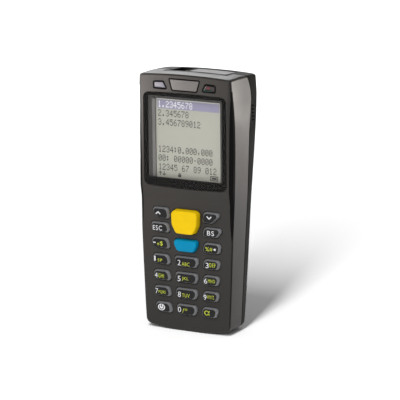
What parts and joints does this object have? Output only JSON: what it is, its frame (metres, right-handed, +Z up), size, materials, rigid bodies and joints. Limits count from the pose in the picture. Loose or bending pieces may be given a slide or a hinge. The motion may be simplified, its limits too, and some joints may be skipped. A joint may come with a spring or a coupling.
{
  "type": "portable barcode data terminal",
  "caption": "Hand-held barcode data terminal with a display, a sprung keypad, a scan window in its top end and a sliding battery door.",
  "frame": {"origin": "centre of the base, on the surface the terminal stands on", "axes": "+Z up the body towards the scan window, -Y out of the keypad, +X to the right as the keypad is read"},
  "size_m": [0.051, 0.03, 0.1242],
  "materials": {
    "case_front": "satin",
    "case_back": "satin",
    "case_door": "satin",
    "seal": "matt",
    "edge_black": "semi gloss",
    "lens": "clear, with a black printed border",
    "bezel_grey": "matt",
    "lcd_glass": "grey-green reflective display",
    "sheet_steel": "rolled",
    "light_guide": "opal",
    "flex_film": "amber film",
    "board_green": "solder mask",
    "chip_black": "moulded",
    "cell_steel": "bright",
    "dome_steel": "bright",
    "silicone_grey": "matt silicone",
    "badge": "semi gloss, bare",
    "lamp_clear": "frosted",
    "lamp_smoke": "smoked",
    "led_resin": "clear resin",
    "scan_red": "deep red, gloss",
    "engine_black": "moulded",
    "battery_wrap": "blue shrink sleeve",
    "contact_metal": "gold plated",
    "screw_black": "black oxide",
    "screw_steel": "zinc plated",
    "key_grey": "grey cap with a black printed top",
    "key_yellow": "yellow",
    "key_blue": "cyan blue"
  },
  "bodies": {
    "case": {"front_case": "case_front", "back_case": "case_back", "case_seal": "seal", "battery_pack": "battery_wrap", "battery_contacts": "contact_metal", "display_lens": "lens", "lcd_bezel": "bezel_grey", "lcd_glass": "lcd_glass", "lcd_frame": "sheet_steel", "backlight": "light_guide", "lcd_flex": "flex_film", "main_board": "board_green", "board_components": "chip_black", "backup_cell": "cell_steel", "dome_switches": "dome_steel", "key_membrane": "silicone_grey", "badge_plate": "badge", "status_lens_left": "lamp_clear", "status_lens_right": "lamp_smoke", "status_leds": "led_resin", "edge_strip_left": "edge_black", "edge_strip_right": "edge_black", "scan_window": "scan_red", "scan_engine": "engine_black", "scan_bracket": "sheet_steel", "buzzer": "chip_black", "side_grille": "case_back", "cradle_contacts": "contact_metal", "case_screws": "screw_black", "board_screws": "screw_steel"},
    "battery_door": {"battery_door": "case_door"},
    "key_up_cap": {"key_up": "key_grey"},
    "key_down_cap": {"key_down": "key_grey"},
    "key_esc_cap": {"key_esc": "key_grey"},
    "key_bs_cap": {"key_bs": "key_grey"},
    "key_minus_cap": {"key_minus": "key_grey"},
    "key_percent_cap": {"key_percent": "key_grey"},
    "key_1_cap": {"key_1": "key_grey"},
    "key_2_cap": {"key_2": "key_grey"},
    "key_3_cap": {"key_3": "key_grey"},
    "key_4_cap": {"key_4": "key_grey"},
    "key_5_cap": {"key_5": "key_grey"},
    "key_6_cap": {"key_6": "key_grey"},
    "key_7_cap": {"key_7": "key_grey"},
    "key_8_cap": {"key_8": "key_grey"},
    "key_9_cap": {"key_9": "key_grey"},
    "key_power_cap": {"key_power": "key_grey"},
    "key_0_cap": {"key_0": "key_grey"},
    "key_alpha_cap": {"key_alpha": "key_grey"},
    "key_scan_cap": {"key_scan": "key_yellow"},
    "key_enter_cap": {"key_enter": "key_blue"}
  },
  "joints": [
    {"name": "battery_door_slide", "type": "slide", "parent": "case", "child": "battery_door", "axis": [0, -0.0499, -0.9988], "range_m": [0, 0.012]},
    {"name": "key_up_press", "type": "slide", "parent": "case", "child": "key_up_cap", "axis": [0, 1, 0], "range_m": [0, 0.0008], "stiffness_N_per_m": 1200},
    {"name": "key_down_press", "type": "slide", "parent": "case", "child": "key_down_cap", "axis": [0, 1, 0], "range_m": [0, 0.0008], "stiffness_N_per_m": 1200},
    {"name": "key_esc_press", "type": "slide", "parent": "case", "child": "key_esc_cap", "axis": [0, 1, 0], "range_m": [0, 0.0008], "stiffness_N_per_m": 1200},
    {"name": "key_bs_press", "type": "slide", "parent": "case", "child": "key_bs_cap", "axis": [0, 1, 0], "range_m": [0, 0.0008], "stiffness_N_per_m": 1200},
    {"name": "key_minus_press", "type": "slide", "parent": "case", "child": "key_minus_cap", "axis": [0, 1, 0], "range_m": [0, 0.0008], "stiffness_N_per_m": 1200},
    {"name": "key_percent_press", "type": "slide", "parent": "case", "child": "key_percent_cap", "axis": [0, 1, 0], "range_m": [0, 0.0008], "stiffness_N_per_m": 1200},
    {"name": "key_1_press", "type": "slide", "parent": "case", "child": "key_1_cap", "axis": [0, 1, 0], "range_m": [0, 0.0008], "stiffness_N_per_m": 1200},
    {"name": "key_2_press", "type": "slide", "parent": "case", "child": "key_2_cap", "axis": [0, 1, 0], "range_m": [0, 0.0008], "stiffness_N_per_m": 1200},
    {"name": "key_3_press", "type": "slide", "parent": "case", "child": "key_3_cap", "axis": [0, 1, 0], "range_m": [0, 0.0008], "stiffness_N_per_m": 1200},
    {"name": "key_4_press", "type": "slide", "parent": "case", "child": "key_4_cap", "axis": [0, 1, 0], "range_m": [0, 0.0008], "stiffness_N_per_m": 1200},
    {"name": "key_5_press", "type": "slide", "parent": "case", "child": "key_5_cap", "axis": [0, 1, 0], "range_m": [0, 0.0008], "stiffness_N_per_m": 1200},
    {"name": "key_6_press", "type": "slide", "parent": "case", "child": "key_6_cap", "axis": [0, 1, 0], "range_m": [0, 0.0008], "stiffness_N_per_m": 1200},
    {"name": "key_7_press", "type": "slide", "parent": "case", "child": "key_7_cap", "axis": [0, 1, 0], "range_m": [0, 0.0008], "stiffness_N_per_m": 1200},
    {"name": "key_8_press", "type": "slide", "parent": "case", "child": "key_8_cap", "axis": [0, 1, 0], "range_m": [0, 0.0008], "stiffness_N_per_m": 1200},
    {"name": "key_9_press", "type": "slide", "parent": "case", "child": "key_9_cap", "axis": [0, 1, 0], "range_m": [0, 0.0008], "stiffness_N_per_m": 1200},
    {"name": "key_power_press", "type": "slide", "parent": "case", "child": "key_power_cap", "axis": [0, 1, 0], "range_m": [0, 0.0008], "stiffness_N_per_m": 1200},
    {"name": "key_0_press", "type": "slide", "parent": "case", "child": "key_0_cap", "axis": [0, 1, 0], "range_m": [0, 0.0008], "stiffness_N_per_m": 1200},
    {"name": "key_alpha_press", "type": "slide", "parent": "case", "child": "key_alpha_cap", "axis": [0, 1, 0], "range_m": [0, 0.0008], "stiffness_N_per_m": 1200},
    {"name": "key_scan_press", "type": "slide", "parent": "case", "child": "key_scan_cap", "axis": [0, 1, 0], "range_m": [0, 0.0008], "stiffness_N_per_m": 1600},
    {"name": "key_enter_press", "type": "slide", "parent": "case", "child": "key_enter_cap", "axis": [0, 1, 0], "range_m": [0, 0.0008], "stiffness_N_per_m": 1200}
  ]
}
